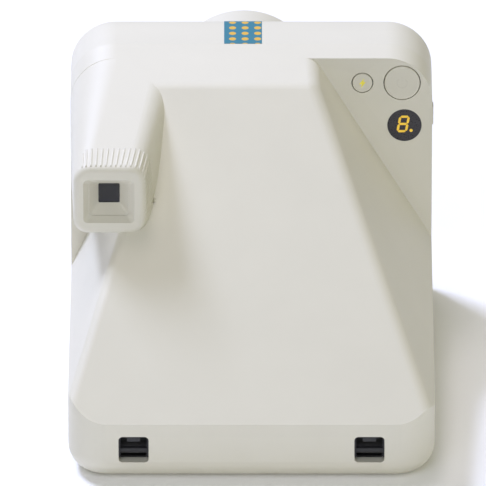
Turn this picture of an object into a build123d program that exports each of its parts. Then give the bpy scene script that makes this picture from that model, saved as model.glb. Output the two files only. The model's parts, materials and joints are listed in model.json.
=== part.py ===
from build123d import *
import math
import os

# Instant camera, in millimetres.
# Origin: middle of the base. +Z is up, -Y is the lens side, +Y is the side the user looks into,
# +X is the side that carries the viewfinder.

# ---------------------------------------------------------------- driving dimensions
body_width = 112.2
body_height = 94.0
total_depth = 150.5
body_depth = 134.5
wall = 2.2
fit_gap = 0.3

corner_r = 12.0
base_edge_r = 8.0
head_top_r = 14.0
front_edge_r = 7.5

slab_height = 20.0
door_height = 33.7
cover_split = 122.0
door_split = 115.6

top_flat_back = 113.0
panel_top = 105.8
top_fall = 0.208
panel_lean = 4.0
slope_start = 92.9

hump_back = 52.0
hump_left = 54.6
hump_right = 32.9
hump_low = 59.0

lens_x = 2.4
lens_z = 66.0
lens_r = 21.9

pack_width = 88.0
pack_floor = 5.4

tooth_module = 0.62
roller_r = 4.5
roller_teeth = 15
roller_depth = 120.5
film_plane = 21.0
gear_x = -47.2
gear_width = 3.0

# ---------------------------------------------------------------- derived places
half_width = body_width / 2
back_y = total_depth / 2


def at(depth):
    """Y of a plane that lies this far forward of the back face."""
    return back_y - depth


def top_height(depth):
    """Height of the gently falling top surface at this depth."""
    return body_height - max(0.0, top_flat_back - depth) * top_fall


slope_top = top_height(slope_start)
slope_angle = math.degrees(math.atan2(slope_top - slab_height, slope_start))
panel_height = top_height(panel_top)
lean = math.radians(panel_lean)

slope_dir = Vector(0, math.sin(math.radians(slope_angle)), math.cos(math.radians(slope_angle)))
fall_dir = Vector(0, top_fall, 1).normalized()
right_dir = Vector(-1, 0.078, 0.618).normalized()
left_dir = Vector(1, -0.009, 0.435).normalized()
hidden_dir = Vector(1, 0.02, 0.3).normalized()
panel_dir = Vector(0, math.cos(lean), math.sin(lean))

slope_face = Plane(origin=(0, at(0), slab_height), x_dir=(1, 0, 0), z_dir=slope_dir)
fall_face = Plane(origin=(0, at(top_flat_back), body_height), x_dir=(1, 0, 0), z_dir=fall_dir)
right_face = Plane(origin=(-half_width, at(0), slab_height), x_dir=(0, 1, 0), z_dir=right_dir)
left_face = Plane(origin=(half_width, at(0), slab_height + 4.9), x_dir=(0, 1, 0), z_dir=left_dir)
hidden_face = Plane(origin=(half_width + 0.6, at(0), slab_height - 2.0), x_dir=(0, 1, 0), z_dir=hidden_dir)
panel_face = Plane(origin=(0, at(panel_top), panel_height), x_dir=(-1, 0, 0), z_dir=panel_dir)

os.makedirs("parts", exist_ok=True)


# ---------------------------------------------------------------- helpers
def save(builder, name):
    """Name a finished sub-part and write it."""
    builder.part.label = name
    export_step(builder.part, f"parts/{name}.step")


def depth_plane(depth):
    """Upright plane facing the lens side: sketch x is -X of the row, sketch y is height."""
    return Plane(origin=(0, at(depth), 0), x_dir=(-1, 0, 0), z_dir=(0, 1, 0))


def front_plane(depth):
    """Upright plane whose normal points forward: sketch x is +X of the row, sketch y is height."""
    return Plane(origin=(0, at(depth), 0), x_dir=(1, 0, 0), z_dir=(0, -1, 0))


def side_plane(x):
    """Plane across the body: sketch x is the row's Y, sketch y is height, normal +X."""
    return Plane(origin=(x, 0, 0), x_dir=(0, 1, 0), z_dir=(1, 0, 0))


def box_part(low, high):
    """Plain block between two corners given as (x, depth, z)."""
    size = [abs(high[i] - low[i]) for i in range(3)]
    mid = [(high[i] + low[i]) / 2 for i in range(3)]
    return Pos(mid[0], at(mid[1]), mid[2]) * Box(*size, mode=Mode.PRIVATE)


def shifted(plane, inset):
    """The same plane moved inwards."""
    return plane.offset(-inset)


def edges_on(shape, plane_a, plane_b):
    """Edges that lie in both planes."""
    found = []
    for edge in shape.edges():
        points = [edge @ 0, edge @ 0.5, edge @ 1]
        if all(abs(plane_a.to_local_coords(p).Z) < 0.01 for p in points):
            if all(abs(plane_b.to_local_coords(p).Z) < 0.01 for p in points):
                found.append(edge)
    return ShapeList(found)


# ---------------------------------------------------------------- outer forms
def slab_form(inset):
    """Low rounded block that holds the film."""
    with BuildPart() as slab:
        with BuildSketch(Plane.XY.offset(inset)):
            with Locations((0, at(body_depth / 2))):
                RectangleRounded(body_width - 2 * inset, body_depth - 2 * inset, corner_r - inset)
        extrude(amount=slab_height - 2 * inset + 4.0 * (inset > 0))
        fillet(slab.faces().sort_by(Axis.Z)[0].edges(), base_edge_r - inset)
    return slab.part


def head_form(inset):
    """Tall block across the lens side, with a leaning back panel."""
    foot = panel_top - panel_height * math.tan(lean)
    with BuildPart() as head:
        with BuildSketch(side_plane(inset - half_width)):
            with BuildLine():
                Polyline(
                    (at(body_depth), 0),
                    (at(body_depth), body_height),
                    (at(top_flat_back), body_height),
                    (at(panel_top), panel_height),
                    (at(foot), 0),
                    close=True,
                )
            make_face()
            if inset > 0:
                offset(amount=-inset, kind=Kind.INTERSECTION)
        extrude(amount=body_width - 2 * inset)
        sides = head.faces().sort_by(Axis.X)
        low = sides[0].edges().sort_by(Axis.Z)[0:1] + sides[-1].edges().sort_by(Axis.Z)[0:1]
        fillet(low, base_edge_r - inset)
        top_flat = Plane(origin=(0, 0, body_height - inset))
        tops = ShapeList()
        for x in (half_width - inset, inset - half_width):
            tops += edges_on(head.part, side_plane(x), top_flat)
            tops += edges_on(head.part, side_plane(x), shifted(fall_face, inset))
        fillet(tops, head_top_r - inset)
        fillet(head.faces().sort_by(Axis.Y)[0].edges(), front_edge_r - inset)
    return head.part


def pyramid_form(inset, foot=0.0, left_side=left_face):
    """Sloping form between the slab and the head."""
    faces = [shifted(f, inset) for f in (slope_face, fall_face, right_face, left_side)]
    slope, fall, right, left = faces
    length = 118.0
    with BuildPart() as pyramid:
        with BuildSketch(Plane.XY.offset(foot)):
            with Locations((0, at(length / 2 + inset / 2))):
                RectangleRounded(body_width - 2 * inset, length - inset, corner_r - inset)
        extrude(amount=body_height - foot)
        for face in faces:
            split(bisect_by=face, keep=Keep.BOTTOM)
        fillet(edges_on(pyramid.part, slope, fall), 7.0)
        fillet(edges_on(pyramid.part, slope, right), max(5.0 - inset, 1.0))
        fillet(edges_on(pyramid.part, slope, left), max(3.5 - inset, 2.0))
    return pyramid.part


def hump_section(depth, left, right_top, right_low, low, radii, inset):
    """Cross-section of the viewfinder housing at one depth, under the falling top surface."""
    top = top_height(depth) - inset * math.hypot(1.0, top_fall)
    points = [
        (-left + inset, low + inset),
        (-left + inset, top),
        (-right_top - inset, top),
        (-right_low - inset, low + inset),
    ]
    with BuildSketch() as section:
        with BuildLine():
            Polyline(*points, close=True)
        make_face()
        for point, radius in zip(points, radii):
            corner = section.vertices().sort_by_distance(Vector(*point, 0))[0]
            fillet(corner, max(radius - inset, 0.8))
    return section.sketch


def hump_form(inset):
    """Tapered viewfinder housing that runs back from the head."""
    root_depth = panel_top + (3.6 if inset > 0 else 0.6)
    rim_depth = hump_back + inset
    rim = hump_section(rim_depth, hump_left, hump_right, hump_right, hump_low, (4.5, 5.0, 5.0, 4.5), inset)
    root = hump_section(root_depth, half_width, 24.0, 12.5, 46.5, (6.0, head_top_r + 0.5, 7.0, 6.0), inset * 1.3)
    with BuildPart() as hump:
        add(depth_plane(rim_depth).location * rim)
        add(depth_plane(root_depth).location * root)
        loft(ruled=True)
        if inset == 0:
            fillet(hump.faces().sort_by(Axis.Y)[-1].edges(), 2.0)
    return hump.part


# ---------------------------------------------------------------- shared solids of the casing
head_outer = head_form(0.0)
head_inner = head_form(wall)
slab_outer = slab_form(0.0)
slab_inner = slab_form(wall)
pyramid_outer = pyramid_form(0.0)
pyramid_inner = pyramid_form(wall)
hump_outer = hump_form(0.0)
hump_inner = hump_form(wall)

eye_x = (hump_left + hump_right) / 2
eye_z = 69.95
funnel_mouth = (15.7, 14.7)
funnel_throat = 6.4
funnel_depth = 6.2
finder_window_z = 71.0
finder_window = (15.6, 13.6)
flash_x = -37.0
flash_z = 80.0
flash_window_size = (24.0, 13.0)
power_at = (46.7, -8.2)
power_r = 5.5
flash_button_at = (34.4, -8.2)
flash_button_r = 3.1
display_at = (47.5, -22.4)
display_r = 5.3
button_gap = 0.28
shutter_button_x = -38.0
shutter_button_z = 49.0
shutter_button_r = 6.5
timer_button_x = 40.0
timer_button_z = 49.0
timer_button_r = 4.2
usb_depth = 112.0
usb_z = 46.0
led_z = 40.0
latch_depth = 115.0
latch_z = 69.0
latch_travel = 3.0
sensor_x = -28.0
sensor_z = 61.0
sensor_r = 2.6
pocket_x = 36.0
pocket_z = 11.4
pocket_size = (9.2, 8.8)
pocket_corner_r = 1.3
hinge_depth = 117.5
hinge_z = 2.8
knuckle_r = 2.4
pin_r = 1.0
running_gap = 0.05
screw_places = [(sx * 50.6, depth) for sx in (-1, 1) for depth in (16.0, 84.0)]
lower_roller_z = film_plane - roller_r - fit_gap / 2
upper_roller_z = film_plane + roller_r + fit_gap / 2


def funnel_cutter():
    """Square funnel of the eyepiece, from its mouth to its throat."""
    with BuildPart() as funnel:
        with BuildSketch(depth_plane(hump_back)):
            with Locations((-eye_x, eye_z)):
                RectangleRounded(funnel_mouth[0], funnel_mouth[1], 1.4)
        with BuildSketch(depth_plane(hump_back + funnel_depth)):
            with Locations((-eye_x, eye_z)):
                RectangleRounded(funnel_throat, funnel_throat, 0.4)
        loft()
    return funnel.part


funnel = funnel_cutter()


# ---------------------------------------------------------------- casing
def make_rear_cover():
    """Upper shell: sloping back, viewfinder housing and the back half of the head."""
    with BuildPart() as rear_cover:
        add(head_outer)
        add(pyramid_outer)
        add(hump_outer)
        add(pyramid_form(0.0, 58.0, hidden_face) & box_part((0, 68, 60), (60, 112, 100)))
        add(head_inner, mode=Mode.SUBTRACT)
        add(pyramid_inner, mode=Mode.SUBTRACT)
        add(hump_inner, mode=Mode.SUBTRACT)
        add(box_part((-80, -10, -10), (80, 160, slab_height)), mode=Mode.SUBTRACT)
        add(box_part((-80, cover_split, -10), (80, 160, 120)), mode=Mode.SUBTRACT)
        add(box_part((-80, door_split, -10), (80, 160, door_height + fit_gap)), mode=Mode.SUBTRACT)
        add(funnel, mode=Mode.SUBTRACT)
        for place, radius in ((power_at, power_r), (flash_button_at, flash_button_r)):
            with Locations(panel_face.location * Pos(*place, 0)):
                Cylinder(radius + button_gap, 8.0, mode=Mode.SUBTRACT)
        with Locations(panel_face.location * Pos(*display_at, 0)):
            Cylinder(display_r + 0.05, 8.0, mode=Mode.SUBTRACT)
        with Locations((half_width, at(usb_depth), usb_z)):
            Box(10.0, 9.4, 3.8, mode=Mode.SUBTRACT)
        with Locations(Location((half_width, at(usb_depth), led_z), (0, 90, 0))):
            Cylinder(1.1, 10.0, mode=Mode.SUBTRACT)
        with Locations((-half_width, at(latch_depth), latch_z + latch_travel / 2)):
            Box(10.0, 4.0, 6.0 + latch_travel + 0.6, mode=Mode.SUBTRACT)
    save(rear_cover, "rear_cover")


def make_front_cover():
    """Lens side of the casing, above the film door."""
    with BuildPart() as front_cover:
        add(head_outer)
        add(head_inner, mode=Mode.SUBTRACT)
        add(box_part((-80, -10, -10), (80, cover_split, 120)), mode=Mode.SUBTRACT)
        add(box_part((-80, -10, -10), (80, 160, door_height + fit_gap)), mode=Mode.SUBTRACT)
        with BuildSketch(front_plane(body_depth + 1)):
            with Locations((lens_x, lens_z)):
                Circle(lens_r + 0.15)
            with Locations((eye_x, finder_window_z)):
                RectangleRounded(finder_window[0] + 0.2, finder_window[1] + 0.2, 2.6)
            with Locations((flash_x, flash_z)):
                RectangleRounded(flash_window_size[0] + 0.2, flash_window_size[1] + 0.2, 2.6)
            with Locations((shutter_button_x, shutter_button_z)):
                Circle(shutter_button_r + button_gap)
            with Locations((timer_button_x, timer_button_z)):
                Circle(timer_button_r + button_gap)
            with Locations((sensor_x, sensor_z)):
                Circle(sensor_r + 0.1)
        extrude(amount=-6.0, mode=Mode.SUBTRACT)
    save(front_cover, "front_cover")


def make_base_housing():
    """Lower tub that the film pack slides into, with the strap pockets and hinge ears."""
    ear_low, ear_high = 45.4, 51.4
    with BuildPart() as base_housing:
        add(slab_outer)
        add(slab_inner, mode=Mode.SUBTRACT)
        add(box_part((-80, door_split, -10), (80, 160, 120)), mode=Mode.SUBTRACT)
        add(box_part((-80, 113.8, -10), (80, 160, 5.6)), mode=Mode.SUBTRACT)
        for side in (-1, 1):
            with Locations((side * pocket_x, at(4.5), pocket_z - pocket_size[1] / 2 - 0.55)):
                Box(pocket_size[0] + 2.0, 4.8, 1.1)
            with BuildSketch(depth_plane(-1.0)):
                with Locations((side * pocket_x, pocket_z)):
                    RectangleRounded(*pocket_size, pocket_corner_r)
            extrude(amount=-8.0, mode=Mode.SUBTRACT)
            middle = side * (ear_low + ear_high) / 2
            with Locations((middle, at(113.0), 2.0)):
                Box(ear_high - ear_low, 8.0, 3.2)
            with Locations(Location((middle, at(hinge_depth), hinge_z), (0, 90, 0))):
                Cylinder(knuckle_r, ear_high - ear_low)
                Cylinder(pin_r + running_gap, ear_high - ear_low, mode=Mode.SUBTRACT)
        for x, depth in screw_places:
            with Locations((x, at(depth), 9.0)):
                Cylinder(2.6, 16.0)
        for x, depth in screw_places:
            with Locations((x, at(depth), 0)):
                Cylinder(1.3, 60.0, mode=Mode.SUBTRACT)
            with Locations((x, at(depth), 0)):
                Cylinder(2.3, 5.0, mode=Mode.SUBTRACT)
    save(base_housing, "base_housing")


def make_film_door():
    """Front door of the film compartment, with the slot the picture comes out of."""
    barrel_half = 45.1
    with BuildPart() as film_door:
        add(head_outer)
        add(head_inner, mode=Mode.SUBTRACT)
        add(box_part((-53.95, door_split, door_height - 1.8), (53.95, 132.35, door_height)))
        add(box_part((-80, -10, -10), (80, door_split + fit_gap, 120)), mode=Mode.SUBTRACT)
        add(box_part((-80, -10, door_height), (80, 160, 120)), mode=Mode.SUBTRACT)
        add(box_part((-80, -10, -10), (80, hinge_depth + fit_gap, hinge_z + 0.6)), mode=Mode.SUBTRACT)
        add(box_part((-44.8, 130, film_plane - 2.6), (44.8, 140, film_plane + 2.6)), mode=Mode.SUBTRACT)
        for side in (-1, 1):
            ear_low, ear_high = sorted((side * 45.1, side * 51.7))
            add(box_part((ear_low, 110, -1), (ear_high, 121.6, 7.5)), mode=Mode.SUBTRACT)
        with Locations(Location((0, at(hinge_depth), hinge_z), (0, 90, 0))):
            Cylinder(knuckle_r, 2 * barrel_half)
            Cylinder(pin_r + running_gap, 2 * barrel_half, mode=Mode.SUBTRACT)
        add(box_part((-45.1, hinge_depth, 0.4), (45.1, 121.0, 2.2)))
        with Locations(Location((0, at(hinge_depth), hinge_z), (0, 90, 0))):
            Cylinder(pin_r + running_gap, 2 * barrel_half, mode=Mode.SUBTRACT)
        add(box_part((-52.2, 117.2, door_height), (-50.8, 118.6, door_height + 3.0)))
    save(film_door, "film_door")


def make_casing_trim():
    """Strap pocket liners with their bars, the coloured label and the case screws."""
    liner_size = (pocket_size[0] - 0.2, pocket_size[1] - 0.2)
    liner_wall = 0.45
    liner_low = pocket_z - liner_size[1] / 2
    liner_high = pocket_z + liner_size[1] / 2
    with BuildPart() as pockets:
        with BuildSketch(depth_plane(0.9)):
            with Locations((-pocket_x, pocket_z), (pocket_x, pocket_z)):
                RectangleRounded(*liner_size, pocket_corner_r - 0.1)
        extrude(amount=-5.7)
        with BuildSketch(depth_plane(0.0)):
            with Locations((-pocket_x, pocket_z), (pocket_x, pocket_z)):
                RectangleRounded(liner_size[0] - 2 * liner_wall, liner_size[1] - 2 * liner_wall, 0.75)
        extrude(amount=-5.8, mode=Mode.SUBTRACT)
        for side in (-1, 1):
            low, high = side * pocket_x - pocket_size[0] / 2, side * pocket_x + pocket_size[0] / 2
            add(box_part((low, 0, liner_low - 1), (high, 3.4, liner_low + 1.3)), mode=Mode.SUBTRACT)
            with Locations(Location((side * pocket_x, at(2.6), pocket_z - 1.3), (0, 90, 0))):
                Cylinder(1.0, liner_size[0] - liner_wall)
            add(box_part((side * pocket_x - 2.0, 1.4, liner_high - 2.2), (side * pocket_x + 2.0, 3.4, liner_high - 0.2)))
    save(pockets, "strap_pockets")

    label_x, label_wide, label_thick = 2.6, 11.7, 0.12
    label_end_z = 89.2
    arc_y = at(body_depth) + front_edge_r
    arc_z = body_height - front_edge_r
    flat_length = at(top_flat_back) - arc_y
    with BuildPart() as label:
        with BuildSketch(side_plane(label_x - label_wide / 2)):
            with Locations((arc_y, arc_z)):
                Circle(front_edge_r + label_thick)
                Circle(front_edge_r, mode=Mode.SUBTRACT)
            with Locations((arc_y + 20, arc_z)):
                Rectangle(40, 40, mode=Mode.SUBTRACT)
            with Locations((arc_y, label_end_z - 20)):
                Rectangle(40, 40, mode=Mode.SUBTRACT)
            with Locations((arc_y + flat_length / 2, body_height + label_thick / 2)):
                Rectangle(flat_length, label_thick)
        extrude(amount=label_wide)
    save(label, "colour_label")

    with BuildPart() as screws:
        for x, depth in screw_places:
            with Locations((x, at(depth), 6.2)):
                Cylinder(1.25, 9.6)
            with Locations((x, at(depth), 1.7)):
                Cylinder(2.1, 1.4)
            with Locations((x, at(depth), 1.0)):
                Box(2.8, 0.6, 0.9, mode=Mode.SUBTRACT)
                Box(0.6, 2.8, 0.9, mode=Mode.SUBTRACT)
    save(screws, "case_screws")


# ---------------------------------------------------------------- film path
def gear_outline(teeth, phase):
    """Closed outline of a spur gear with slim straight-sided teeth."""
    pitch_r = tooth_module * teeth / 2
    outer_r = pitch_r + 0.50
    root_r = pitch_r - 0.68
    root_half = 0.40 / root_r
    tip_half = 0.21 / outer_r
    points = []
    for tooth in range(teeth):
        middle = phase + tooth * 2 * math.pi / teeth
        for angle, radius in (
            (middle - root_half, root_r),
            (middle - tip_half, outer_r),
            (middle + tip_half, outer_r),
            (middle + root_half, root_r),
        ):
            points.append((radius * math.cos(angle), radius * math.sin(angle)))
    return points


def make_gear(name, teeth, place, phase, bore_r, shaft_length=0.0):
    """Spur gear whose axis runs across the body, with its own shaft if it has no bore."""
    depth, z = place
    with BuildPart() as gear:
        with BuildSketch(side_plane(gear_x - gear_width / 2)):
            with BuildLine():
                Polyline(*[(at(depth) + a, z + b) for a, b in gear_outline(teeth, phase)], close=True)
            make_face()
            if bore_r > 0:
                with Locations((at(depth), z)):
                    Circle(bore_r, mode=Mode.SUBTRACT)
        extrude(amount=gear_width)
        if shaft_length > 0:
            with BuildSketch(side_plane(gear_x)):
                with Locations((at(depth), z)):
                    Circle(1.0)
            extrude(amount=shaft_length)
    save(gear, name)


def mesh_phase(teeth_a, phase_a, from_place, to_place, teeth_b):
    """Phase that puts a gap of gear b where gear a has a tooth, on the line between them."""
    line = math.atan2(to_place[1] - from_place[1], -(to_place[0] - from_place[0]))
    step_a = 2 * math.pi / teeth_a
    offset_a = (line - phase_a) % step_a
    shift = offset_a / step_a
    step_b = 2 * math.pi / teeth_b
    return line + math.pi + (0.5 + shift) * step_b


drive_teeth, idler_teeth, pinion_teeth = 30, 24, 12
lower_place = (roller_depth, lower_roller_z)
upper_place = (roller_depth, upper_roller_z)
drive_z = 13.2
drive_span = tooth_module * (roller_teeth + drive_teeth) / 2
drive_place = (roller_depth - math.sqrt(drive_span**2 - (lower_roller_z - drive_z) ** 2), drive_z)
pinion_place = (112.0, 40.0)
idler_reach = tooth_module * (drive_teeth + idler_teeth) / 2
pinion_reach = tooth_module * (idler_teeth + pinion_teeth) / 2
run = (pinion_place[0] - drive_place[0], pinion_place[1] - drive_place[1])
run_length = math.hypot(*run)
along = (idler_reach**2 - pinion_reach**2 + run_length**2) / (2 * run_length)
aside = math.sqrt(idler_reach**2 - along**2)
idler_place = (
    drive_place[0] + (along * run[0] - aside * run[1]) / run_length,
    drive_place[1] + (along * run[1] + aside * run[0]) / run_length,
)


def make_gears():
    """Gears of both rollers and the train that drives them."""
    lower_phase = 0.0
    upper_phase = mesh_phase(roller_teeth, lower_phase, lower_place, upper_place, roller_teeth)
    drive_phase = mesh_phase(roller_teeth, lower_phase, lower_place, drive_place, drive_teeth)
    idler_phase = mesh_phase(drive_teeth, drive_phase, drive_place, idler_place, idler_teeth)
    pinion_phase = mesh_phase(idler_teeth, idler_phase, idler_place, pinion_place, pinion_teeth)
    make_gear("lower_roller_gear", roller_teeth, lower_place, lower_phase, 1.5)
    make_gear("upper_roller_gear", roller_teeth, upper_place, upper_phase, 1.5)
    make_gear("drive_gear", drive_teeth, drive_place, drive_phase, 1.5 + running_gap)
    make_gear("idler_gear", idler_teeth, idler_place, idler_phase, 1.5 + running_gap)
    make_gear("motor_pinion", pinion_teeth, pinion_place, pinion_phase, 0.0, 5.4)


def make_rollers():
    """Pair of spreading rollers, their side brackets and their springs."""
    barrel_half, shaft_half = 43.6, 51.3
    for name, z in (("lower_roller", lower_roller_z), ("upper_roller", upper_roller_z)):
        with BuildPart() as roller:
            with Locations(Location((0, at(roller_depth), z), (0, 90, 0))):
                Cylinder(roller_r, 2 * barrel_half)
            chamfer(roller.edges(), 0.5)
            with Locations(Location((0, at(roller_depth), z), (0, 90, 0))):
                Cylinder(1.5, 2 * shaft_half)
        save(roller, name)

    with BuildPart() as brackets:
        for side in (-1, 1):
            with BuildSketch(side_plane(side * 50.3 - 0.75)):
                with Locations(((at(126.0) + at(116.4)) / 2, 20.6)):
                    RectangleRounded(9.6, 21.4, 1.5)
                with Locations((at(roller_depth), lower_roller_z), (at(roller_depth), upper_roller_z)):
                    Circle(1.5 + running_gap, mode=Mode.SUBTRACT)
            extrude(amount=1.5)
            for foot_z in (11.6, 29.6):
                with Locations((side * 51.7, at(124.4), foot_z)):
                    Box(4.2, 3.0, 3.0)
    save(brackets, "roller_brackets")

    with BuildPart() as springs:
        for side in (-1, 1):
            with Locations((side * 52.4, at(roller_depth), upper_roller_z + 2.7)):
                Cylinder(0.8, 4.6)
    save(springs, "roller_springs")

    with BuildPart() as pins:
        for side in (-1, 1):
            with Locations(Location((side * 45.0, at(hinge_depth), hinge_z), (0, 90, 0))):
                Cylinder(pin_r, 12.8)
    save(pins, "hinge_pins")

    with BuildPart() as shield:
        with Locations(Location((0, at(129.6), 28.4), (0, 90, 0))):
            Cylinder(2.2, 88.0)
            Cylinder(1.2, 88.0, mode=Mode.SUBTRACT)
        with Locations((0, at(131.6), 26.2)):
            Box(88.0, 0.3, 4.6)
    save(shield, "film_shield")


def make_film_chamber():
    """Tray and side rails that the film pack slides on, with the studs for two gears."""
    rail_x = pack_width / 2 + 0.4
    with BuildPart() as chamber:
        add(box_part((-rail_x - 1, 7.0, pack_floor - 1.2), (rail_x + 1, 113.4, pack_floor - 0.2)))
        for side in (-1, 1):
            low, high = sorted((side * rail_x, side * (rail_x + 1)))
            add(box_part((low, 7.0, pack_floor - 1.2), (high, 113.4, 20.0)))
        add(box_part((-24, 6.6, pack_floor - 1.2), (24, 7.4, 20.0)))
        with Locations(Location((-rail_x - 4.2, at(drive_place[0]), drive_place[1]), (0, 90, 0))):
            Cylinder(1.5, 7.0)
    save(chamber, "film_chamber")

    with BuildPart() as plate:
        plate_x = -rail_x - 1
        with BuildSketch(side_plane(plate_x)):
            with BuildLine():
                Polyline(
                    (at(105.3), 23.0),
                    (at(115.2), 23.0),
                    (at(115.2), 34.4),
                    (at(119.4), 34.4),
                    (at(119.4), 47.4),
                    (at(105.3), 47.4),
                    close=True,
                )
            make_face()
            with Locations((at(pinion_place[0]), pinion_place[1])):
                Circle(3.0, mode=Mode.SUBTRACT)
        extrude(amount=1.0)
        with Locations(Location((plate_x - 2.2, at(idler_place[0]), idler_place[1]), (0, 90, 0))):
            Cylinder(1.5, 4.4)
    save(plate, "gear_plate")

    with BuildPart() as motor:
        with Locations(Location((-34.2, at(pinion_place[0]), pinion_place[1]), (0, 90, 0))):
            Cylinder(6.6, 20.0)
        chamfer(motor.edges(), 0.6)
        with Locations(Location((-24.0, at(pinion_place[0]), pinion_place[1]), (0, 90, 0))):
            Cylinder(2.4, 2.0)
        with Locations(Location((-43.0, at(pinion_place[0]), pinion_place[1]), (0, 90, 0))):
            Cylinder(1.0 + running_gap, 6.0, mode=Mode.SUBTRACT)
    save(motor, "motor")

    with BuildPart() as pick:
        add(box_part((46.4, 6.0, 13.0), (47.8, 62.0, 17.6)))
        add(box_part((46.4, 5.6, 13.0), (47.8, 7.0, 21.2)))
        add(box_part((43.3, 5.6, 20.4), (47.8, 7.0, 21.2)))
    save(pick, "pick_arm")


# ---------------------------------------------------------------- light box, mirror and lens
def lens_ring(outer_r, inner_r, near, far):
    """Ring or disc round the lens axis between two depths."""
    place = Location((lens_x, at((near + far) / 2), lens_z), (90, 0, 0))
    ring = place * Cylinder(outer_r, far - near, mode=Mode.PRIVATE)
    if inner_r > 0:
        ring -= place * Cylinder(inner_r, far - near, mode=Mode.PRIVATE)
    return ring


def make_light_box():
    """Dark tapered chamber under the sloping back, its mirror and the tunnel to the lens."""
    outer = pyramid_form(4.4, 22.4)
    step_x, step_z = eye_x - 7.4, eye_z - 7.4
    cavity = pyramid_form(5.6, 20.0) & box_part((-42.4, 9.2, 10), (42.4, 102.2, 92))
    cavity -= box_part((step_x - 1.2, 0, step_z - 1.2), (60, 120, 100))
    with BuildPart() as light_box:
        add(outer)
        add(box_part((-43.6, 8.0, 20), (43.6, 103.4, 92)), mode=Mode.INTERSECT)
        add(box_part((step_x, 0, step_z), (60, 120, 100)), mode=Mode.SUBTRACT)
        add(lens_ring(18.6, 0.0, 100.0, 116.7))
        add(lens_ring(17.2, 0.0, 98.0, 118.0), mode=Mode.SUBTRACT)
        add(cavity, mode=Mode.SUBTRACT)
    save(light_box, "light_box")

    mirror_face = slope_face.offset(-7.0)
    low_v, high_v = 14.0, 104.0
    with BuildPart() as mirror:
        with BuildSketch(mirror_face):
            with BuildLine():
                Polyline((-35.0, -low_v), (35.5, -low_v), (19.0, -high_v), (-9.5, -high_v), close=True)
            make_face()
        extrude(amount=-1.6)
    save(mirror, "mirror")


focus_x = lens_x - 9.0
focus_swing = 64.0
blade_pins = [(lens_x + 12.0, lens_z - 9.0), (lens_x - 12.0, lens_z - 9.0)]


def make_lens():
    """Lens barrel and the optics inside it."""
    with BuildPart() as barrel:
        add(lens_ring(lens_r, 19.0, 128.4, total_depth))
        rim = barrel.edges().filter_by(GeomType.CIRCLE).group_by(Axis.Y)[0]
        fillet(rim.sort_by(SortBy.RADIUS)[-1], 1.6)
        add(lens_ring(23.2, 19.0, 129.2, 131.2))
    save(barrel, "lens_barrel")

    with BuildPart() as bezel:
        with BuildSketch(Plane(origin=(lens_x, at(0), lens_z), x_dir=(1, 0, 0), z_dir=(0, 0, 1))):
            with BuildLine():
                Polyline(
                    (18.9, -149.4), (17.8, -149.4), (11.0, -142.4), (11.0, -139.4), (18.9, -139.4), close=True
                )
            make_face()
        revolve(axis=Axis((lens_x, 0, lens_z), (0, 1, 0)))
    save(bezel, "lens_bezel")

    with BuildPart() as glass:
        add(lens_ring(10.9, 0.0, 139.6, 140.8))
    save(glass, "front_glass")

    with BuildPart() as cell:
        add(lens_ring(18.9, 8.9, 127.0, 139.2))
        add(lens_ring(18.9, 11.0, 127.0, 131.0), mode=Mode.SUBTRACT)
    save(cell, "lens_cell")

    bulge = 22.0
    with BuildPart() as lens:
        add(lens_ring(8.8, 0.0, 131.6, 137.2))
        for centre in (131.6 + bulge - 0.1, 137.2 - bulge + 0.1):
            with Locations((lens_x, at(centre), lens_z)):
                Sphere(bulge, mode=Mode.INTERSECT)
    save(lens, "front_lens")

    with BuildPart() as disc:
        with Locations(Location((focus_x, at(124.1), lens_z), (90, 0, 0))):
            Cylinder(16.6, 1.6)
            Cylinder(1.0 + running_gap, 1.6, mode=Mode.SUBTRACT)
        for angle in (0.0, -focus_swing):
            turn = math.radians(angle)
            spot = (focus_x + 9.0 * math.cos(turn), at(124.1), lens_z + 9.0 * math.sin(turn))
            with Locations(Location(spot, (90, 0, 0))):
                Cylinder(3.9, 1.6, mode=Mode.SUBTRACT)
    save(disc, "focus_disc")

    with BuildPart() as pair:
        for angle in (0.0, -focus_swing):
            turn = math.radians(angle)
            spot = (focus_x + 9.0 * math.cos(turn), at(124.1), lens_z + 9.0 * math.sin(turn))
            with Locations(Location(spot, (90, 0, 0))):
                Cylinder(3.9, 1.2)
    save(pair, "focus_lenses")


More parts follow.
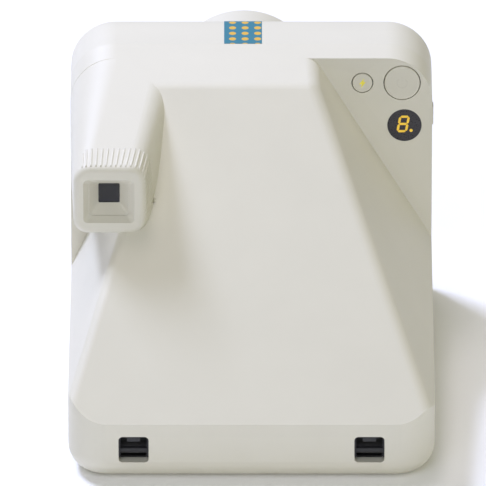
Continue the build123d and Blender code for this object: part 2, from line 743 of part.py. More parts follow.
def make_shutter():
    """Shutter plate, two blades, cover plate and solenoid."""
    plate_size = 40.0
    with BuildPart() as plate:
        with Locations((lens_x, at(117.6), lens_z)):
            Box(plate_size, 1.2, plate_size)
        with Locations(Location((lens_x, at(117.6), lens_z), (90, 0, 0))):
            Cylinder(5.5, 4.0, mode=Mode.SUBTRACT)
        for x, z in blade_pins:
            with Locations(Location((x, at(119.5), z), (90, 0, 0))):
                Cylinder(0.8, 2.8)
    save(plate, "shutter_plate")

    with BuildPart() as cover:
        with Locations((lens_x, at(121.5), lens_z)):
            Box(plate_size, 1.0, plate_size)
        with Locations(Location((lens_x, at(121.5), lens_z), (90, 0, 0))):
            Cylinder(6.0, 4.0, mode=Mode.SUBTRACT)
        for sx in (-1, 1):
            for sz in (-1, 1):
                with Locations((lens_x + sx * 18.4, at(119.6), lens_z + sz * 18.4)):
                    Box(2.6, 2.8, 2.6)
        with Locations(Location((focus_x, at(123.9), lens_z), (90, 0, 0))):
            Cylinder(1.0, 4.0)
    save(cover, "shutter_cover")

    for index, name in ((0, "shutter_blade_left"), (1, "shutter_blade_right")):
        pin_x, pin_z = blade_pins[index]
        side = 1 if index == 0 else -1
        layer = 119.0 + 0.8 * index
        with BuildPart() as blade:
            with BuildSketch(depth_plane(layer)):
                with BuildLine():
                    Polyline(
                        (-(pin_x + side * 2.0), pin_z - 2.4),
                        (-(pin_x + side * 2.0), pin_z + 3.0),
                        (-(lens_x + side * 6.5), lens_z + 6.6),
                        (-(lens_x - side * 0.6), lens_z + 6.6),
                        (-(lens_x - side * 0.6), lens_z - 6.6),
                        (-(pin_x - side * 3.0), pin_z - 2.4),
                        close=True,
                    )
                make_face()
                with Locations((-pin_x, pin_z)):
                    Circle(0.8 + running_gap, mode=Mode.SUBTRACT)
            extrude(amount=-0.3)
        save(blade, name)

    with BuildPart() as solenoid:
        with Locations(Location((lens_x, at(111.6), 40.6), (90, 0, 0))):
            Cylinder(4.4, 10.4)
        chamfer(solenoid.edges(), 0.5)
        with Locations(Location((lens_x, at(117.6), 40.6), (90, 0, 0))):
            Cylinder(1.0, 3.0)
    save(solenoid, "shutter_solenoid")


# ---------------------------------------------------------------- flash and viewfinder
def make_flash():
    """Flash window, reflector, lamp tube and storage capacitor."""
    with BuildPart() as window:
        with BuildSketch(front_plane(134.2)):
            with Locations((flash_x, flash_z)):
                RectangleRounded(flash_window_size[0], flash_window_size[1], 2.5)
        extrude(amount=-1.4)
    save(window, "flash_window")

    with BuildPart() as reflector:
        for grow, mode in ((0.8, Mode.ADD), (0.0, Mode.SUBTRACT)):
            with BuildSketch(front_plane(132.0)):
                with Locations((flash_x, flash_z)):
                    Rectangle(21.0 + 2 * grow, 10.6 + 2 * grow)
            with BuildSketch(front_plane(123.0 - grow)):
                with Locations((flash_x, flash_z)):
                    Rectangle(20.0 + 2 * grow, 3.4 + 2 * grow)
            loft(ruled=True, mode=mode)
    save(reflector, "flash_reflector")

    with BuildPart() as tube:
        with Locations(Location((flash_x, at(124.8), flash_z), (0, 90, 0))):
            Cylinder(1.2, 19.6)
    save(tube, "flash_tube")

    with BuildPart() as capacitor:
        with Locations(Location((-38.0, at(124.8), 61.0), (0, 90, 0))):
            Cylinder(5.8, 26.0)
        chamfer(capacitor.edges(), 0.6)
    save(capacitor, "flash_capacitor")


def make_viewfinder():
    """Eyepiece funnel, its lens, the finder tube and the front window."""
    with BuildPart() as eyepiece:
        add(box_part((eye_x - 8.4, 54.4, eye_z - 8.3), (eye_x + 8.4, 60.2, eye_z + 8.3)))
        fillet(eyepiece.edges().filter_by(Axis.Y), 3.2)
        add(funnel, mode=Mode.SUBTRACT)
        add(box_part((eye_x - 4.5, 58.1, eye_z - 4.5), (eye_x + 4.5, 61, eye_z + 4.5)), mode=Mode.SUBTRACT)
    save(eyepiece, "eyepiece")

    with BuildPart() as lens:
        add(box_part((eye_x - 4.4, 58.3, eye_z - 4.4), (eye_x + 4.4, 59.9, eye_z + 4.4)))
    save(lens, "eyepiece_lens")

    with BuildPart() as tube:
        add(box_part((eye_x - 7, 60.4, eye_z - 7), (eye_x + 7, 131.6, eye_z + 7)))
        add(box_part((eye_x - 6, 60, eye_z - 6), (eye_x + 6, 132, eye_z + 6)), mode=Mode.SUBTRACT)
    save(tube, "viewfinder_tube")

    with BuildPart() as window:
        with BuildSketch(front_plane(134.2)):
            with Locations((eye_x, finder_window_z)):
                RectangleRounded(finder_window[0], finder_window[1], 2.5)
        extrude(amount=-1.4)
    save(window, "viewfinder_window")

    with BuildPart() as sensor:
        with BuildSketch(front_plane(134.3)):
            with Locations((sensor_x, sensor_z)):
                Circle(sensor_r)
        extrude(amount=-1.6)
    save(sensor, "light_sensor")


# ---------------------------------------------------------------- controls
def make_panel_controls():
    """Power and flash buttons, counter window with its digit, and the board behind them."""
    for name, place, radius in (
        ("power_button", power_at, power_r),
        ("flash_button", flash_button_at, flash_button_r),
    ):
        with BuildPart() as button:
            with Locations(panel_face.location * Pos(*place, -1.0)):
                Cylinder(radius, 2.6)
            rim = button.edges().filter_by(GeomType.CIRCLE).sort_by(Axis.Y)[-1]
            fillet(rim, 0.35)
            with Locations(panel_face.location * Pos(*place, -3.6)):
                Cylinder(1.3, 3.0)
        save(button, name)

    with BuildPart() as window:
        with Locations(panel_face.location * Pos(*display_at, -0.7)):
            Cylinder(display_r, 1.4)
    save(window, "counter_window")

    half_high, wide, thick, slant, gap = 2.42, 2.64, 0.74, 0.176, 0.07
    digit_x, digit_y = display_at[0] - 0.4, display_at[1] + 0.44

    def segment_outline(start, end, across):
        """Pointed bar between two corners of the digit, leaning with it."""
        along = ((end[0] - start[0]), (end[1] - start[1]))
        length = math.hypot(*along)
        ux, uy = along[0] / length, along[1] / length
        outline = []
        for reach, side in ((gap, 0), (gap + thick / 2, 1), (length - gap - thick / 2, 1)):
            outline.append((start[0] + ux * reach - uy * side * across, start[1] + uy * reach + ux * side * across))
        for reach, side in ((length - gap, 0), (length - gap - thick / 2, -1), (gap + thick / 2, -1)):
            outline.append((start[0] + ux * reach - uy * side * across, start[1] + uy * reach + ux * side * across))
        return [(digit_x + x + y * slant, digit_y + y) for x, y in outline]

    corners = [(x, y) for y in (-half_high, 0, half_high) for x in (-wide / 2, wide / 2)]
    bars = [(0, 1), (2, 3), (4, 5), (0, 2), (1, 3), (2, 4), (3, 5)]
    with BuildPart() as digit:
        with BuildSketch(panel_face):
            for first, last in bars:
                with BuildLine():
                    Polyline(*segment_outline(corners[first], corners[last], thick / 2), close=True)
                make_face()
            with Locations((display_at[0] + 2.07, display_at[1] - 1.73)):
                Circle(0.5)
        extrude(amount=0.06)
    save(digit, "counter_digit")

    with BuildPart() as module:
        with Locations(panel_face.location * Pos(*display_at, -3.9)):
            Box(9.0, 9.0, 2.6)
    save(module, "counter_module")

    with BuildPart() as board:
        with Locations(panel_face.location * Pos(38.6, -15.5, -10.4)):
            Box(24.0, 23.0, 1.2)
    save(board, "control_board")


def make_front_controls():
    """Shutter release and self-timer button with their switches."""
    for name, x, z, radius, proud in (
        ("shutter_button", shutter_button_x, shutter_button_z, shutter_button_r, 1.6),
        ("timer_button", timer_button_x, timer_button_z, timer_button_r, 0.8),
    ):
        with BuildPart() as button:
            with BuildSketch(front_plane(body_depth + proud)):
                with Locations((x, z)):
                    Circle(radius)
            extrude(amount=-(proud + 1.9))
            rim = button.edges().filter_by(GeomType.CIRCLE).sort_by(Axis.Y)[0]
            fillet(rim, 0.7)
            with BuildSketch(front_plane(body_depth - 1.8)):
                with Locations((x, z)):
                    Circle(1.6)
            extrude(amount=-2.6)
        save(button, name)

    with BuildPart() as switches:
        for place in (power_at, flash_button_at):
            with Locations(panel_face.location * Pos(*place, -8.1)):
                Box(4.6, 4.6, 3.3)
        for x, z in ((shutter_button_x, shutter_button_z), (timer_button_x, timer_button_z)):
            with Locations((x, at(126.6), z)):
                Box(4.6, 3.3, 4.6)
    save(switches, "button_switches")


def make_electronics():
    """Main board, its chips, the battery, charging socket and charge light."""
    with BuildPart() as board:
        add(box_part((24.0, 123.4, 35.4), (52.0, 124.6, 60.0)))
        for x, z, wide, tall in ((30.0, 41.0, 6.0, 6.0), (41.0, 40.0, 5.0, 4.0), (31.0, 54.0, 4.0, 5.0)):
            with Locations((x, at(122.8), z)):
                Box(wide, 1.2, tall)
    save(board, "main_board")

    with BuildPart() as battery:
        add(box_part((22.0, 110.4, 35.0), (46.0, 117.4, 61.0)))
        fillet(battery.edges().filter_by(Axis.Z), 1.6)
    save(battery, "battery")

    with BuildPart() as socket:
        add(box_part((48.2, usb_depth - 4.5, usb_z - 1.7), (55.7, usb_depth + 4.5, usb_z + 1.7)))
        fillet(socket.edges().filter_by(Axis.X), 1.5)
        add(box_part((49.4, usb_depth - 3.9, usb_z - 1.1), (56, usb_depth + 3.9, usb_z + 1.1)), mode=Mode.SUBTRACT)
        add(box_part((49.0, usb_depth - 3.0, usb_z - 0.35), (54.6, usb_depth + 3.0, usb_z + 0.35)))
    save(socket, "usb_socket")

    with BuildPart() as led:
        with Locations(Location((54.1, at(usb_depth), led_z), (0, 90, 0))):
            Cylinder(1.0, 3.8)
    save(led, "charge_light")


def make_door_latch():
    """Sliding latch on the side of the head and its return spring."""
    with BuildPart() as latch:
        with Locations((-55.0, at(latch_depth), latch_z)):
            Box(3.2, 3.6, 6.0)
        with Locations((-53.1, at(latch_depth), (36.0 + 73.0) / 2)):
            Box(0.8, 5.4, 37.0)
        with Locations((-51.6, at(114.2), 36.8)):
            Box(2.6, 1.8, 1.6)
    save(latch, "door_latch")

    with BuildPart() as spring:
        with Locations((-53.1, at(latch_depth), 77.3)):
            Cylinder(0.7, 8.0)
    save(spring, "latch_spring")


make_rear_cover()
make_front_cover()
make_base_housing()
make_film_door()
make_casing_trim()
make_gears()
make_rollers()
make_film_chamber()
make_light_box()
make_lens()
make_shutter()
make_flash()
make_viewfinder()
make_panel_controls()
make_front_controls()
make_electronics()
make_door_latch()
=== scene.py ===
import json
import math
import bmesh
import bpy
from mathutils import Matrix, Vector
from mathutils.bvhtree import BVHTree


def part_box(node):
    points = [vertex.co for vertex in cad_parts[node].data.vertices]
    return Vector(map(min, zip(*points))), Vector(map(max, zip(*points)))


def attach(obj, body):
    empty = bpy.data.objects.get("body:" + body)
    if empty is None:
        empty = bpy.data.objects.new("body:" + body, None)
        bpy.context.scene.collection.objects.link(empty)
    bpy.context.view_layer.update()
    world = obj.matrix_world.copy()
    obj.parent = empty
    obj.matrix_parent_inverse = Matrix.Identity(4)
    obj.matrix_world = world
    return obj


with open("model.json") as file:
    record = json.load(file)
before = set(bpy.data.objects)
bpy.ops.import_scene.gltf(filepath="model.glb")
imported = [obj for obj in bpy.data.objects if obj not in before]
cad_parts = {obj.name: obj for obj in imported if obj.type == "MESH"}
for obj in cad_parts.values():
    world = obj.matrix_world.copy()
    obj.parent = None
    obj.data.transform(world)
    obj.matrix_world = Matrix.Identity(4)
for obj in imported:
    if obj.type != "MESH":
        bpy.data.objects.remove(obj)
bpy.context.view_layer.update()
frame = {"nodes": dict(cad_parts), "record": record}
NODES = frame["nodes"]
MM = 0.001

# ---------------------------------------------------------------- colours and sizes
SHELL = (0.760, 0.735, 0.622)
DARK = (0.020, 0.020, 0.022)
# Dark tint of the eyepiece lens: painted shade standing in for the dark inside of the viewfinder
# tube.
EYEPIECE_SHADE_TINT = (0.13, 0.11, 0.055)
SIGN_YELLOW = (0.86, 0.76, 0.07)
LABEL_FIELD = (0.06, 0.24, 0.33)
LABEL_DOT = (0.80, 0.50, 0.10)
LABEL_DOT_PITCH = 3.9 * MM
LABEL_DOT_EDGE = (0.26, 0.30)     # radius of a dot, as parts of the pitch

MOTTLE_SCALE = 55.0
CLOUD_SCALE = 180.0
SMEAR_SCALE = 130.0
WORN_POINTINESS = (0.54, 0.62)    # where a rubbed edge begins and is complete
COAT_ROUGHNESS = 0.12

# The control panel leans back, and its signs lie on it. Their outlines are in mm.
PANEL_LEAN = math.radians(4.0)
PANEL_NORMAL = Vector((0, math.cos(PANEL_LEAN), math.sin(PANEL_LEAN)))
PANEL_ACROSS = Vector((-1, 0, 0))
PANEL_UP = PANEL_NORMAL.cross(PANEL_ACROSS)
SIGN_THICK = 0.00014
SIGN_SINK = 0.0001
SIGN_BEVEL = 0.00003
SIGN_TINT = 0.95                  # the power sign's tone beside the button's
RAY_START = 0.02                  # how far behind a button the search for its face begins
BOLT_BELOW_TOP = 3.1 * MM
BOLT_OUTLINE = ((0.55, 1.6), (-1.05, -0.3), (-0.25, -0.3), (-0.45, -1.6), (1.05, 0.4), (0.3, 0.4))
POWER_BELOW_TOP = 5.5 * MM
POWER_RING_R = 1.55
POWER_LINE = 0.34
POWER_GAP = 38.0                  # half the ring's gap, in degrees
POWER_BAR = (0.5, 2.1)

# Viewfinder housing and the ribs' places on it, in mm. Depth runs forward from the camera's back.
HALF_DEPTH = 75.25
HUMP_DEPTH = 52.0
HUMP_LENGTH = 54.4
HUMP_TOP = 81.3
HUMP_TOP_SLOPE = 0.208
HUMP_LEFT = (52.2, 1.5)           # side of the housing, and how far it moves over the length
HUMP_RIGHT = (32.9, -8.9)
HUMP_RIGHT_FOOT = (32.9, -20.4)
HUMP_SIDE_DROP = 21.0
HUMP_CORNER = 5.0
RIB_COUNT = 24
RIB_PITCH = 1.5
RIB_START = 53.0
RIB_LENGTH = 8.8
RIB_STEPS = 8
RIB_ARC_STEPS = 6
RIB_LEAST_POINTS = 4
RIB_END_HEIGHT = 0.25             # share of the full height at a rib's end
RIB_END_RISE = 0.5                # and how much of it each further step adds
# Section of a rib, in the scene's metres.
RIB_WIDTH = 0.75 * MM
RIB_HEIGHT = 0.22 * MM
RIB_SINK = 0.05 * MM
RIB_REACH = 1.2 * MM              # how far the skin may be from the guess


def middle(node):
    low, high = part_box(node)
    return (low + high) / 2


# ---------------------------------------------------------------- shader nodes
def new_material(name):
    material = bpy.data.materials.new(name)
    material.use_nodes = True
    tree = material.node_tree
    tree.nodes.clear()
    output = tree.nodes.new("ShaderNodeOutputMaterial")
    shader = tree.nodes.new("ShaderNodeBsdfPrincipled")
    tree.links.new(shader.outputs["BSDF"], output.inputs["Surface"])
    return material, tree, shader


def object_coords(tree):
    return tree.nodes.new("ShaderNodeTexCoord").outputs["Object"]


def noise(tree, coords, scale, detail=3.0, rough=0.55):
    node = tree.nodes.new("ShaderNodeTexNoise")
    node.inputs["Scale"].default_value = scale
    node.inputs["Detail"].default_value = detail
    node.inputs["Roughness"].default_value = rough
    tree.links.new(coords, node.inputs["Vector"])
    return node.outputs["Fac"]


def ramp(tree, value, low, high, from_low=0.3, from_high=0.7):
    """Maps a 0-1 pattern to a narrow range of values."""
    node = tree.nodes.new("ShaderNodeMapRange")
    node.inputs["From Min"].default_value = from_low
    node.inputs["From Max"].default_value = from_high
    node.inputs["To Min"].default_value = low
    node.inputs["To Max"].default_value = high
    tree.links.new(value, node.inputs["Value"])
    return node.outputs["Result"]


def mix_colour(tree, factor, first, second):
    node = tree.nodes.new("ShaderNodeMix")
    node.data_type = "RGBA"
    node.inputs["A"].default_value = (*first, 1)
    node.inputs["B"].default_value = (*second, 1)
    tree.links.new(factor, node.inputs["Factor"])
    return node


def mottled(tree, pattern, first, second):
    """Colour that wanders between two tones with the pattern."""
    return mix_colour(tree, ramp(tree, pattern, 0.0, 1.0), first, second).outputs["Result"]


def bump(tree, height, distance, strength):
    node = tree.nodes.new("ShaderNodeBump")
    node.inputs["Distance"].default_value = distance
    node.inputs["Strength"].default_value = strength
    tree.links.new(height, node.inputs["Height"])
    return node.outputs["Normal"]


def vector_math(tree, operation, source, second=None):
    node = tree.nodes.new("ShaderNodeVectorMath")
    node.operation = operation
    tree.links.new(source, node.inputs[0])
    if second is not None:
        node.inputs[1].default_value = second
    return node


# ---------------------------------------------------------------- materials
def moulded(name, colour, rough, grain=5200.0, depth=0.00002, spread=0.008, wear=0.02, coat=0.0):
    """Moulded plastic: fine spark texture, faint mottling and lighter rubbed edges."""
    material, tree, shader = new_material(name)
    coords = object_coords(tree)
    mottle = noise(tree, coords, MOTTLE_SCALE, 4.0)
    darker = tuple(max(c - spread * (0.3 + c), 0.002) for c in colour)
    lighter = tuple(min(c + spread * (0.3 + c), 1.0) for c in colour)
    rubbed = tuple(min(c * 1.12 + 0.02, 1.0) for c in colour)
    point = tree.nodes.new("ShaderNodeNewGeometry").outputs["Pointiness"]
    worn = mix_colour(tree, ramp(tree, point, 0.0, wear * 10, *WORN_POINTINESS), darker, rubbed)
    tree.links.new(mottled(tree, mottle, darker, lighter), worn.inputs["A"])
    tree.links.new(worn.outputs["Result"], shader.inputs["Base Color"])
    fine = noise(tree, coords, grain, 2.0)
    tree.links.new(ramp(tree, fine, rough - 0.05, rough + 0.05), shader.inputs["Roughness"])
    tree.links.new(bump(tree, fine, depth, 0.6), shader.inputs["Normal"])
    shader.inputs["Coat Weight"].default_value = coat
    shader.inputs["Coat Roughness"].default_value = COAT_ROUGHNESS
    return material


def metal(name, colour, rough, stretch=(1.0, 60.0, 60.0), grain=900.0, depth=0.00001, plating=1.0):
    """Drawn or turned metal with a directional grain."""
    material, tree, shader = new_material(name)
    coords = object_coords(tree)
    mapping = tree.nodes.new("ShaderNodeMapping")
    mapping.inputs["Scale"].default_value = stretch
    tree.links.new(coords, mapping.inputs["Vector"])
    streaks = noise(tree, mapping.outputs["Vector"], grain / max(stretch), 4.0)
    cloud = noise(tree, coords, CLOUD_SCALE, 3.0)
    dark = tuple(c * 0.86 for c in colour)
    tree.links.new(mottled(tree, cloud, dark, colour), shader.inputs["Base Color"])
    tree.links.new(ramp(tree, streaks, rough - 0.08, rough + 0.10), shader.inputs["Roughness"])
    tree.links.new(bump(tree, streaks, depth, 0.5), shader.inputs["Normal"])
    shader.inputs["Metallic"].default_value = plating
    return material


def clear(name, colour, rough, ior=1.49, ribs=0.0):
    """Clear or tinted optical plastic; ribs gives a lined diffuser across it."""
    material, tree, shader = new_material(name)
    coords = object_coords(tree)
    smear = noise(tree, coords, SMEAR_SCALE, 3.0)
    tint = tuple(min(c * 1.03, 1.0) for c in colour)
    tree.links.new(mottled(tree, smear, colour, tint), shader.inputs["Base Color"])
    tree.links.new(ramp(tree, smear, rough, rough + 0.05), shader.inputs["Roughness"])
    shader.inputs["Transmission Weight"].default_value = 1.0
    shader.inputs["IOR"].default_value = ior
    if ribs:
        wave = tree.nodes.new("ShaderNodeTexWave")
        wave.bands_direction = "X"
        wave.inputs["Scale"].default_value = ribs
        wave.inputs["Distortion"].default_value = 0.0
        tree.links.new(coords, wave.inputs["Vector"])
        tree.links.new(bump(tree, wave.outputs["Fac"], 0.0003, 0.8), shader.inputs["Normal"])
    return material


def glow(name, colour, strength):
    """Lit segment, or print with a painted glow, with a slightly uneven light."""
    material, tree, shader = new_material(name)
    uneven = noise(tree, object_coords(tree), 900.0, 2.0)
    dim = tuple(c * 0.8 for c in colour)
    lit = mottled(tree, uneven, dim, colour)
    tree.links.new(lit, shader.inputs["Base Color"])
    tree.links.new(lit, shader.inputs["Emission Color"])
    shader.inputs["Emission Strength"].default_value = strength
    tree.links.new(ramp(tree, uneven, 0.35, 0.5), shader.inputs["Roughness"])
    return material


def board(name, colour):
    """Circuit board: solder mask with fine copper lines under it."""
    material, tree, shader = new_material(name)
    coords = object_coords(tree)
    cells = tree.nodes.new("ShaderNodeTexVoronoi")
    cells.distance = "MANHATTAN"
    cells.feature = "DISTANCE_TO_EDGE"
    cells.inputs["Scale"].default_value = 420.0
    tree.links.new(coords, cells.inputs["Vector"])
    lines = ramp(tree, cells.outputs["Distance"], 1.0, 0.0, 0.02, 0.06)
    bright = (colour[0] * 2 + 0.02, colour[1] * 1.7, colour[2] * 1.5)
    printed = mix_colour(tree, lines, colour, bright)
    tree.links.new(printed.outputs["Result"], shader.inputs["Base Color"])
    mask = noise(tree, coords, 2000.0, 2.0)
    tree.links.new(ramp(tree, mask, 0.25, 0.4), shader.inputs["Roughness"])
    tree.links.new(bump(tree, lines, 0.00004, 0.5), shader.inputs["Normal"])
    return material


def dotted_label(name):
    """Printed label: plain teal field with a regular grid of warm dots."""
    material, tree, shader = new_material(name)
    coords = object_coords(tree)
    cell = vector_math(tree, "SCALE", coords)
    cell.inputs["Scale"].default_value = 1 / LABEL_DOT_PITCH
    within = vector_math(tree, "FRACTION", cell.outputs["Vector"])
    flat = vector_math(tree, "MULTIPLY", within.outputs["Vector"], (1, 1, 0))
    away = vector_math(tree, "DISTANCE", flat.outputs["Vector"], (0.5, 0.5, 0))
    dot = ramp(tree, away.outputs["Value"], 1.0, 0.0, *LABEL_DOT_EDGE)
    printed = mix_colour(tree, dot, LABEL_FIELD, LABEL_DOT)
    tree.links.new(printed.outputs["Result"], shader.inputs["Base Color"])
    grain = noise(tree, coords, 3000.0, 2.0)
    tree.links.new(ramp(tree, grain, 0.32, 0.42), shader.inputs["Roughness"])
    return material


def give_look(node, material):
    mesh = NODES[node].data
    mesh.materials.clear()
    mesh.materials.append(material)


LOOKS = {
    "shell": moulded("shell_plastic", SHELL, 0.52),
    "shell_button": moulded("button_plastic", SHELL, 0.48, grain=6200.0, depth=0.000015),
    "release": moulded("release_plastic", (0.62, 0.045, 0.03), 0.34, coat=0.3),
    "black_plastic": moulded(
        "black_plastic", DARK, 0.45, grain=4200.0, depth=0.00003, spread=0.01, wear=0.04),
    "barrel": moulded("barrel_plastic", SHELL, 0.45, grain=6200.0, depth=0.000015),
    "dark_box": moulded(
        "box_plastic", (0.012, 0.012, 0.012), 0.75, grain=3000.0, depth=0.00004, spread=0.006),
    "blade": metal("blade_foil", (0.05, 0.05, 0.055), 0.42, plating=0.6),
    "latch": moulded("latch_plastic", SHELL, 0.5),
    "steel": metal("turned_steel", (0.62, 0.62, 0.64), 0.26),
    "motor_case": metal("motor_steel", (0.55, 0.55, 0.57), 0.33, stretch=(60.0, 60.0, 1.0)),
    "gear": moulded(
        "gear_acetal", (0.80, 0.78, 0.70), 0.38,
        grain=5000.0, depth=0.00001, spread=0.01, wear=0.01, coat=0.1),
    "solenoid": metal(
        "coil_copper", (0.60, 0.28, 0.12), 0.35,
        stretch=(1.0, 60.0, 1.0), grain=1600.0, depth=0.00003, plating=0.8),
    "mirror": metal(
        "mirror_silver", (0.93, 0.93, 0.94), 0.09,
        stretch=(1.0, 1.0, 1.0), grain=200.0, depth=0.000001),
    "optic": clear("optic_plastic", (0.94, 0.96, 0.97), 0.02),
    "flash_lens": clear("flash_lens_plastic", (0.96, 0.97, 0.97), 0.08, ribs=320.0),
    "flash_lamp": clear("lamp_glass", (0.97, 0.98, 0.98), 0.02, ior=1.47),
    "reflector": metal(
        "reflector_chrome", (0.90, 0.90, 0.90), 0.14, stretch=(1.0, 20.0, 1.0), grain=600.0),
    "capacitor": moulded("capacitor_sleeve", (0.03, 0.03, 0.045), 0.3, coat=0.4),
    "smoked": moulded(
        "smoked_plastic", (0.022, 0.019, 0.022), 0.30,
        grain=2500.0, depth=0.000004, spread=0.003, wear=0.01, coat=0.15),
    "digit": glow("digit_amber", (0.88, 0.56, 0.05), 0.42),
    "board": board("board_green", (0.01, 0.09, 0.035)),
    "component": moulded("component_plastic", (0.03, 0.03, 0.03), 0.4),
    "battery": metal(
        "battery_foil", (0.62, 0.64, 0.68), 0.4,
        stretch=(1.0, 1.0, 1.0), grain=350.0, depth=0.00006, plating=0.7),
    "light_pipe": clear("light_pipe_plastic", (0.9, 0.92, 0.9), 0.35),
    "film_sheet": moulded(
        "film_sheet", (0.025, 0.025, 0.03), 0.38, grain=1500.0, depth=0.00003, spread=0.006),
    "label": dotted_label("label_ink"),
}
for part in frame["record"]["subparts"]:
    if part["node"] in NODES:
        give_look(part["node"], LOOKS[part["material_slot"]])
# The eyepiece lens is tinted dark as painted shade for the viewfinder's dark inside.
give_look("eyepiece_lens", clear("shade_tinted_optic", EYEPIECE_SHADE_TINT, 0.03))


# ---------------------------------------------------------------- signs and grip ribs
def piece(name, bm, material, body, smooth=True):
    """Makes an object of this mesh and lets it ride on a body."""
    mesh = bpy.data.meshes.new(name)
    bmesh.ops.recalc_face_normals(bm, faces=bm.faces)
    bm.to_mesh(mesh)
    bm.free()
    obj = bpy.data.objects.new(name, mesh)
    bpy.context.scene.collection.objects.link(obj)
    mesh.materials.append(material)
    for polygon in mesh.polygons:
        polygon.use_smooth = smooth
    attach(obj, body)


def skin(node):
    return BVHTree.FromObject(NODES[node], bpy.context.evaluated_depsgraph_get())


def under_button_face(node, below_top):
    """Point just under the face of a button, on its middle line and this far below its top."""
    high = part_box(node)[1]
    start = Vector((middle(node).x, high.y + RAY_START, high.z - below_top))
    hit = skin(node).ray_cast(start, Vector((0, -1, 0)))[0]
    return hit - PANEL_NORMAL * SIGN_SINK


def sign(outline, origin, bevel=0.0):
    """Thin raised figure on the control panel; its outline is in mm round the origin."""
    bm = bmesh.new()
    corners = []
    for x, y in outline:
        corners.append(bm.verts.new(origin + PANEL_ACROSS * (x * MM) + PANEL_UP * (y * MM)))
    made = bmesh.ops.extrude_face_region(bm, geom=[bm.faces.new(corners)])
    moved = [g for g in made["geom"] if isinstance(g, bmesh.types.BMVert)]
    bmesh.ops.translate(bm, verts=moved, vec=PANEL_NORMAL * SIGN_THICK)
    if bevel:
        rim = [e for e in bm.edges if all(v in moved for v in e.verts)]
        bmesh.ops.bevel(bm, geom=rim, offset=bevel, segments=2, affect="EDGES")
    return bm


def arc(radius, start, end, count=28):
    """Points on an arc, from one angle in degrees to another, clockwise from the top."""
    points = []
    for i in range(count + 1):
        angle = math.radians(start + (end - start) * i / count)
        points.append((radius * math.sin(angle), radius * math.cos(angle)))
    return points


def add_bolt():
    """Flash sign on the small button, printed yellow and given a painted glow."""
    bm = sign(BOLT_OUTLINE, under_button_face("flash_button", BOLT_BELOW_TOP), SIGN_BEVEL)
    # The flash sign's emission is a painted glow: the printed sign gives no light of its own.
    look = glow("sign_yellow_painted_glow", SIGN_YELLOW, 0.25)
    piece("flash_sign", bm, look, "flash_button", False)


def add_power_sign():
    """Power sign, moulded faintly into the large button."""
    base = under_button_face("power_button", POWER_BELOW_TOP)
    look = moulded("sign_plastic", tuple(c * SIGN_TINT for c in SHELL), 0.45)
    half = POWER_LINE / 2
    outer = arc(POWER_RING_R + half, POWER_GAP, 360 - POWER_GAP)
    inner = arc(POWER_RING_R - half, POWER_GAP, 360 - POWER_GAP)
    ring = sign(outer + inner[::-1], base)
    piece("power_sign_ring", ring, look, "power_button", False)
    low, high = POWER_BAR
    bar = sign(((-half, low), (half, low), (half, high), (-half, high)), base)
    piece("power_sign_bar", bar, look, "power_button", False)


def rib_guess(run, depth):
    """Point near the housing's skin, this far round from the first rib, and the way out there."""
    t = (depth - HUMP_DEPTH) / HUMP_LENGTH
    left = HUMP_LEFT[0] + HUMP_LEFT[1] * t
    right = HUMP_RIGHT[0] + HUMP_RIGHT[1] * t
    right_foot = HUMP_RIGHT_FOOT[0] + HUMP_RIGHT_FOOT[1] * t
    top = HUMP_TOP - HUMP_TOP_SLOPE * (HUMP_DEPTH - depth)
    flat = HUMP_LEFT[0] - (HUMP_RIGHT[0] + HUMP_CORNER)
    bend = HUMP_CORNER * math.pi / 2
    if run < flat:
        x, z = left + (right + HUMP_CORNER - left) * run / flat, top
        out = Vector((0, 0, 1))
    elif run < flat + bend:
        angle = (run - flat) / HUMP_CORNER
        x = right + HUMP_CORNER - HUMP_CORNER * math.sin(angle)
        z = top - HUMP_CORNER + HUMP_CORNER * math.cos(angle)
        out = Vector((-math.sin(angle), 0, math.cos(angle)))
    else:
        drop = HUMP_CORNER + run - flat - bend
        x, z = right + (right_foot - right) * drop / HUMP_SIDE_DROP, top - drop
        out = Vector((-1, 0, 0))
    return Vector((x, HALF_DEPTH - depth, z)) * MM, out


def rib_line(surface, run):
    """Points of one rib on the skin, each with the outward direction and the rib's height there."""
    line = []
    for step in range(RIB_STEPS + 1):
        guess, out = rib_guess(run, RIB_START + RIB_LENGTH * step / RIB_STEPS)
        point, normal = surface.find_nearest(guess)[:2]
        if point is None or (point - guess).length > RIB_REACH:
            continue
        from_end = min(step, RIB_STEPS - step)
        height = RIB_HEIGHT * min(1.0, RIB_END_HEIGHT + RIB_END_RISE * from_end)
        line.append((point, normal if normal.dot(out) > 0 else -normal, height))
    return line


def add_rib(bm, line):
    """Half-round strip along the line, sunk a little into the skin and closed at both ends."""
    rings = []
    for index, (point, normal, height) in enumerate(line):
        after = line[min(index + 1, len(line) - 1)][0]
        before = line[max(index - 1, 0)][0]
        side = (after - before).normalized().cross(normal).normalized()
        ring = []
        for turn in range(RIB_ARC_STEPS + 1):
            angle = math.pi * turn / RIB_ARC_STEPS
            lift = math.sin(angle) * (height + RIB_SINK) - RIB_SINK
            edge = point + side * math.cos(angle) * RIB_WIDTH / 2
            ring.append(bm.verts.new(edge + normal * lift))
        rings.append(ring)
    for first, second in zip(rings, rings[1:]):
        for i in range(len(first)):
            j = (i + 1) % len(first)
            bm.faces.new((first[i], first[j], second[j], second[i]))
    bm.faces.new(rings[0])
    bm.faces.new(rings[-1][::-1])


def add_grip_ribs():
    """Fine ribs over the top and inner side of the viewfinder housing, behind the eyepiece."""
    surface = skin("rear_cover")
    bm = bmesh.new()
    for rib in range(RIB_COUNT):
        line = rib_line(surface, rib * RIB_PITCH)
        if len(line) >= RIB_LEAST_POINTS:
            add_rib(bm, line)
    piece("eyepiece_grip_ribs", bm, LOOKS["shell"], "camera")


add_bolt()
add_power_sign()
add_grip_ribs()

# ---------------------------------------------------------------- floor, light and camera
TARGET = Vector((0.0, 0.0, 0.045))
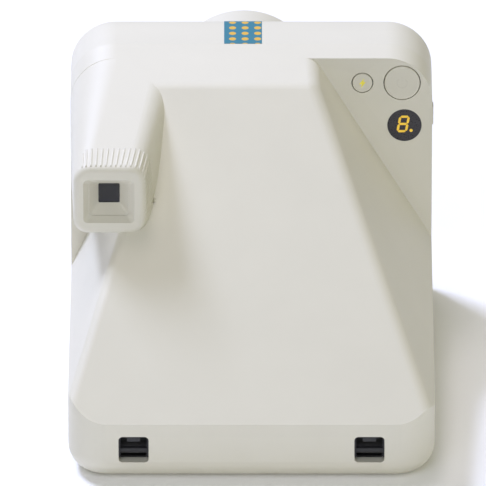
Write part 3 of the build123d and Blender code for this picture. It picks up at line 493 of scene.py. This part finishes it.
# Each light's name, place, width and height, energy and colour.
LIGHTS = (
    ("top", (0.15, -0.25, 1.6), (0.5, 0.5), 5.9, (1.0, 0.927, 0.98)),
    ("front_left", (0.7, -0.7, 1.3), (0.4, 0.4), 24.4, (0.675, 0.73, 1.0)),
    ("right", (-1.5, 0.0, 0.7), (1.0, 1.0), 2.6, (1.0, 1.0, 0.60)),
    ("camera_high", (0.2, 1.2, 1.2), (1.2, 1.2), 8.6, (0.82, 0.85, 1.0)),
    ("camera_level", (0.0, 1.7, 0.5), (1.6, 0.7), 2.4, (1.0, 1.0, 0.85)),
)
SURROUND_COLOUR = (1.0, 0.96, 0.64, 1.0)
SURROUND_STRENGTH = 0.14
FLOOR_HALF = 3.0
FLOOR_DARKER = (0.93, 0.93, 0.935)
FLOOR_LIGHTER = (0.95, 0.95, 0.955)
FLOOR_GLOW = 0.06
FLOOR_FIBRE_SCALE = 300.0
FLOOR_ROUGHNESS = 0.9
CAMERA_AIM = Vector((0.0026, 0.01255, 0.05029))
CAMERA_DISTANCE = 4.0
CAMERA_ELEVATION = math.radians(27.0)
CAMERA_SENSOR = 36.0
CAMERA_LENS = 961.5
CAMERA_CLIP_END = 20.0


def area_light(name, place, size, energy, colour):
    data = bpy.data.lights.new(name, "AREA")
    data.shape = "RECTANGLE"
    data.size, data.size_y = size
    data.energy = energy
    data.color = colour
    lamp = bpy.data.objects.new(name, data)
    lamp.location = place
    lamp.rotation_mode = "QUATERNION"
    lamp.rotation_quaternion = (Vector(place) - TARGET).to_track_quat("Z", "Y")
    bpy.context.scene.collection.objects.link(lamp)


def make_surround():
    world = bpy.data.worlds.new("studio")
    bpy.context.scene.world = world
    world.use_nodes = True
    background = world.node_tree.nodes["Background"]
    background.inputs["Color"].default_value = SURROUND_COLOUR
    background.inputs["Strength"].default_value = SURROUND_STRENGTH
    bpy.context.scene.view_settings.view_transform = "Standard"


def make_stage():
    """Plain pale paper floor."""
    bm = bmesh.new()
    bmesh.ops.create_grid(bm, x_segments=24, y_segments=24, size=FLOOR_HALF)
    mesh = bpy.data.meshes.new("floor")
    bm.to_mesh(mesh)
    bm.free()
    floor = bpy.data.objects.new("floor", mesh)
    bpy.context.scene.collection.objects.link(floor)
    material, tree, shader = new_material("floor_paper")
    fibres = noise(tree, object_coords(tree), FLOOR_FIBRE_SCALE, 3.0)
    paper = mottled(tree, fibres, FLOOR_DARKER, FLOOR_LIGHTER)
    tree.links.new(paper, shader.inputs["Base Color"])
    shader.inputs["Roughness"].default_value = FLOOR_ROUGHNESS
    shader.inputs["Emission Color"].default_value = (1, 1, 1, 1)
    shader.inputs["Emission Strength"].default_value = FLOOR_GLOW
    mesh.materials.append(material)


def make_camera():
    """Camera behind the object and above it, at the photograph's angle."""
    data = bpy.data.cameras.new("camera")
    data.sensor_width = CAMERA_SENSOR
    data.lens = CAMERA_LENS
    data.clip_end = CAMERA_CLIP_END
    camera = bpy.data.objects.new("camera", data)
    bpy.context.scene.collection.objects.link(camera)
    back = Vector((0, math.cos(CAMERA_ELEVATION), math.sin(CAMERA_ELEVATION)))
    camera.location = CAMERA_AIM + back * CAMERA_DISTANCE
    camera.rotation_mode = "QUATERNION"
    camera.rotation_quaternion = back.to_track_quat("Z", "Y")
    bpy.context.scene.camera = camera


for name, place, size, energy, colour in LIGHTS:
    area_light(name, place, size, energy, colour)
make_surround()
make_stage()
make_camera()
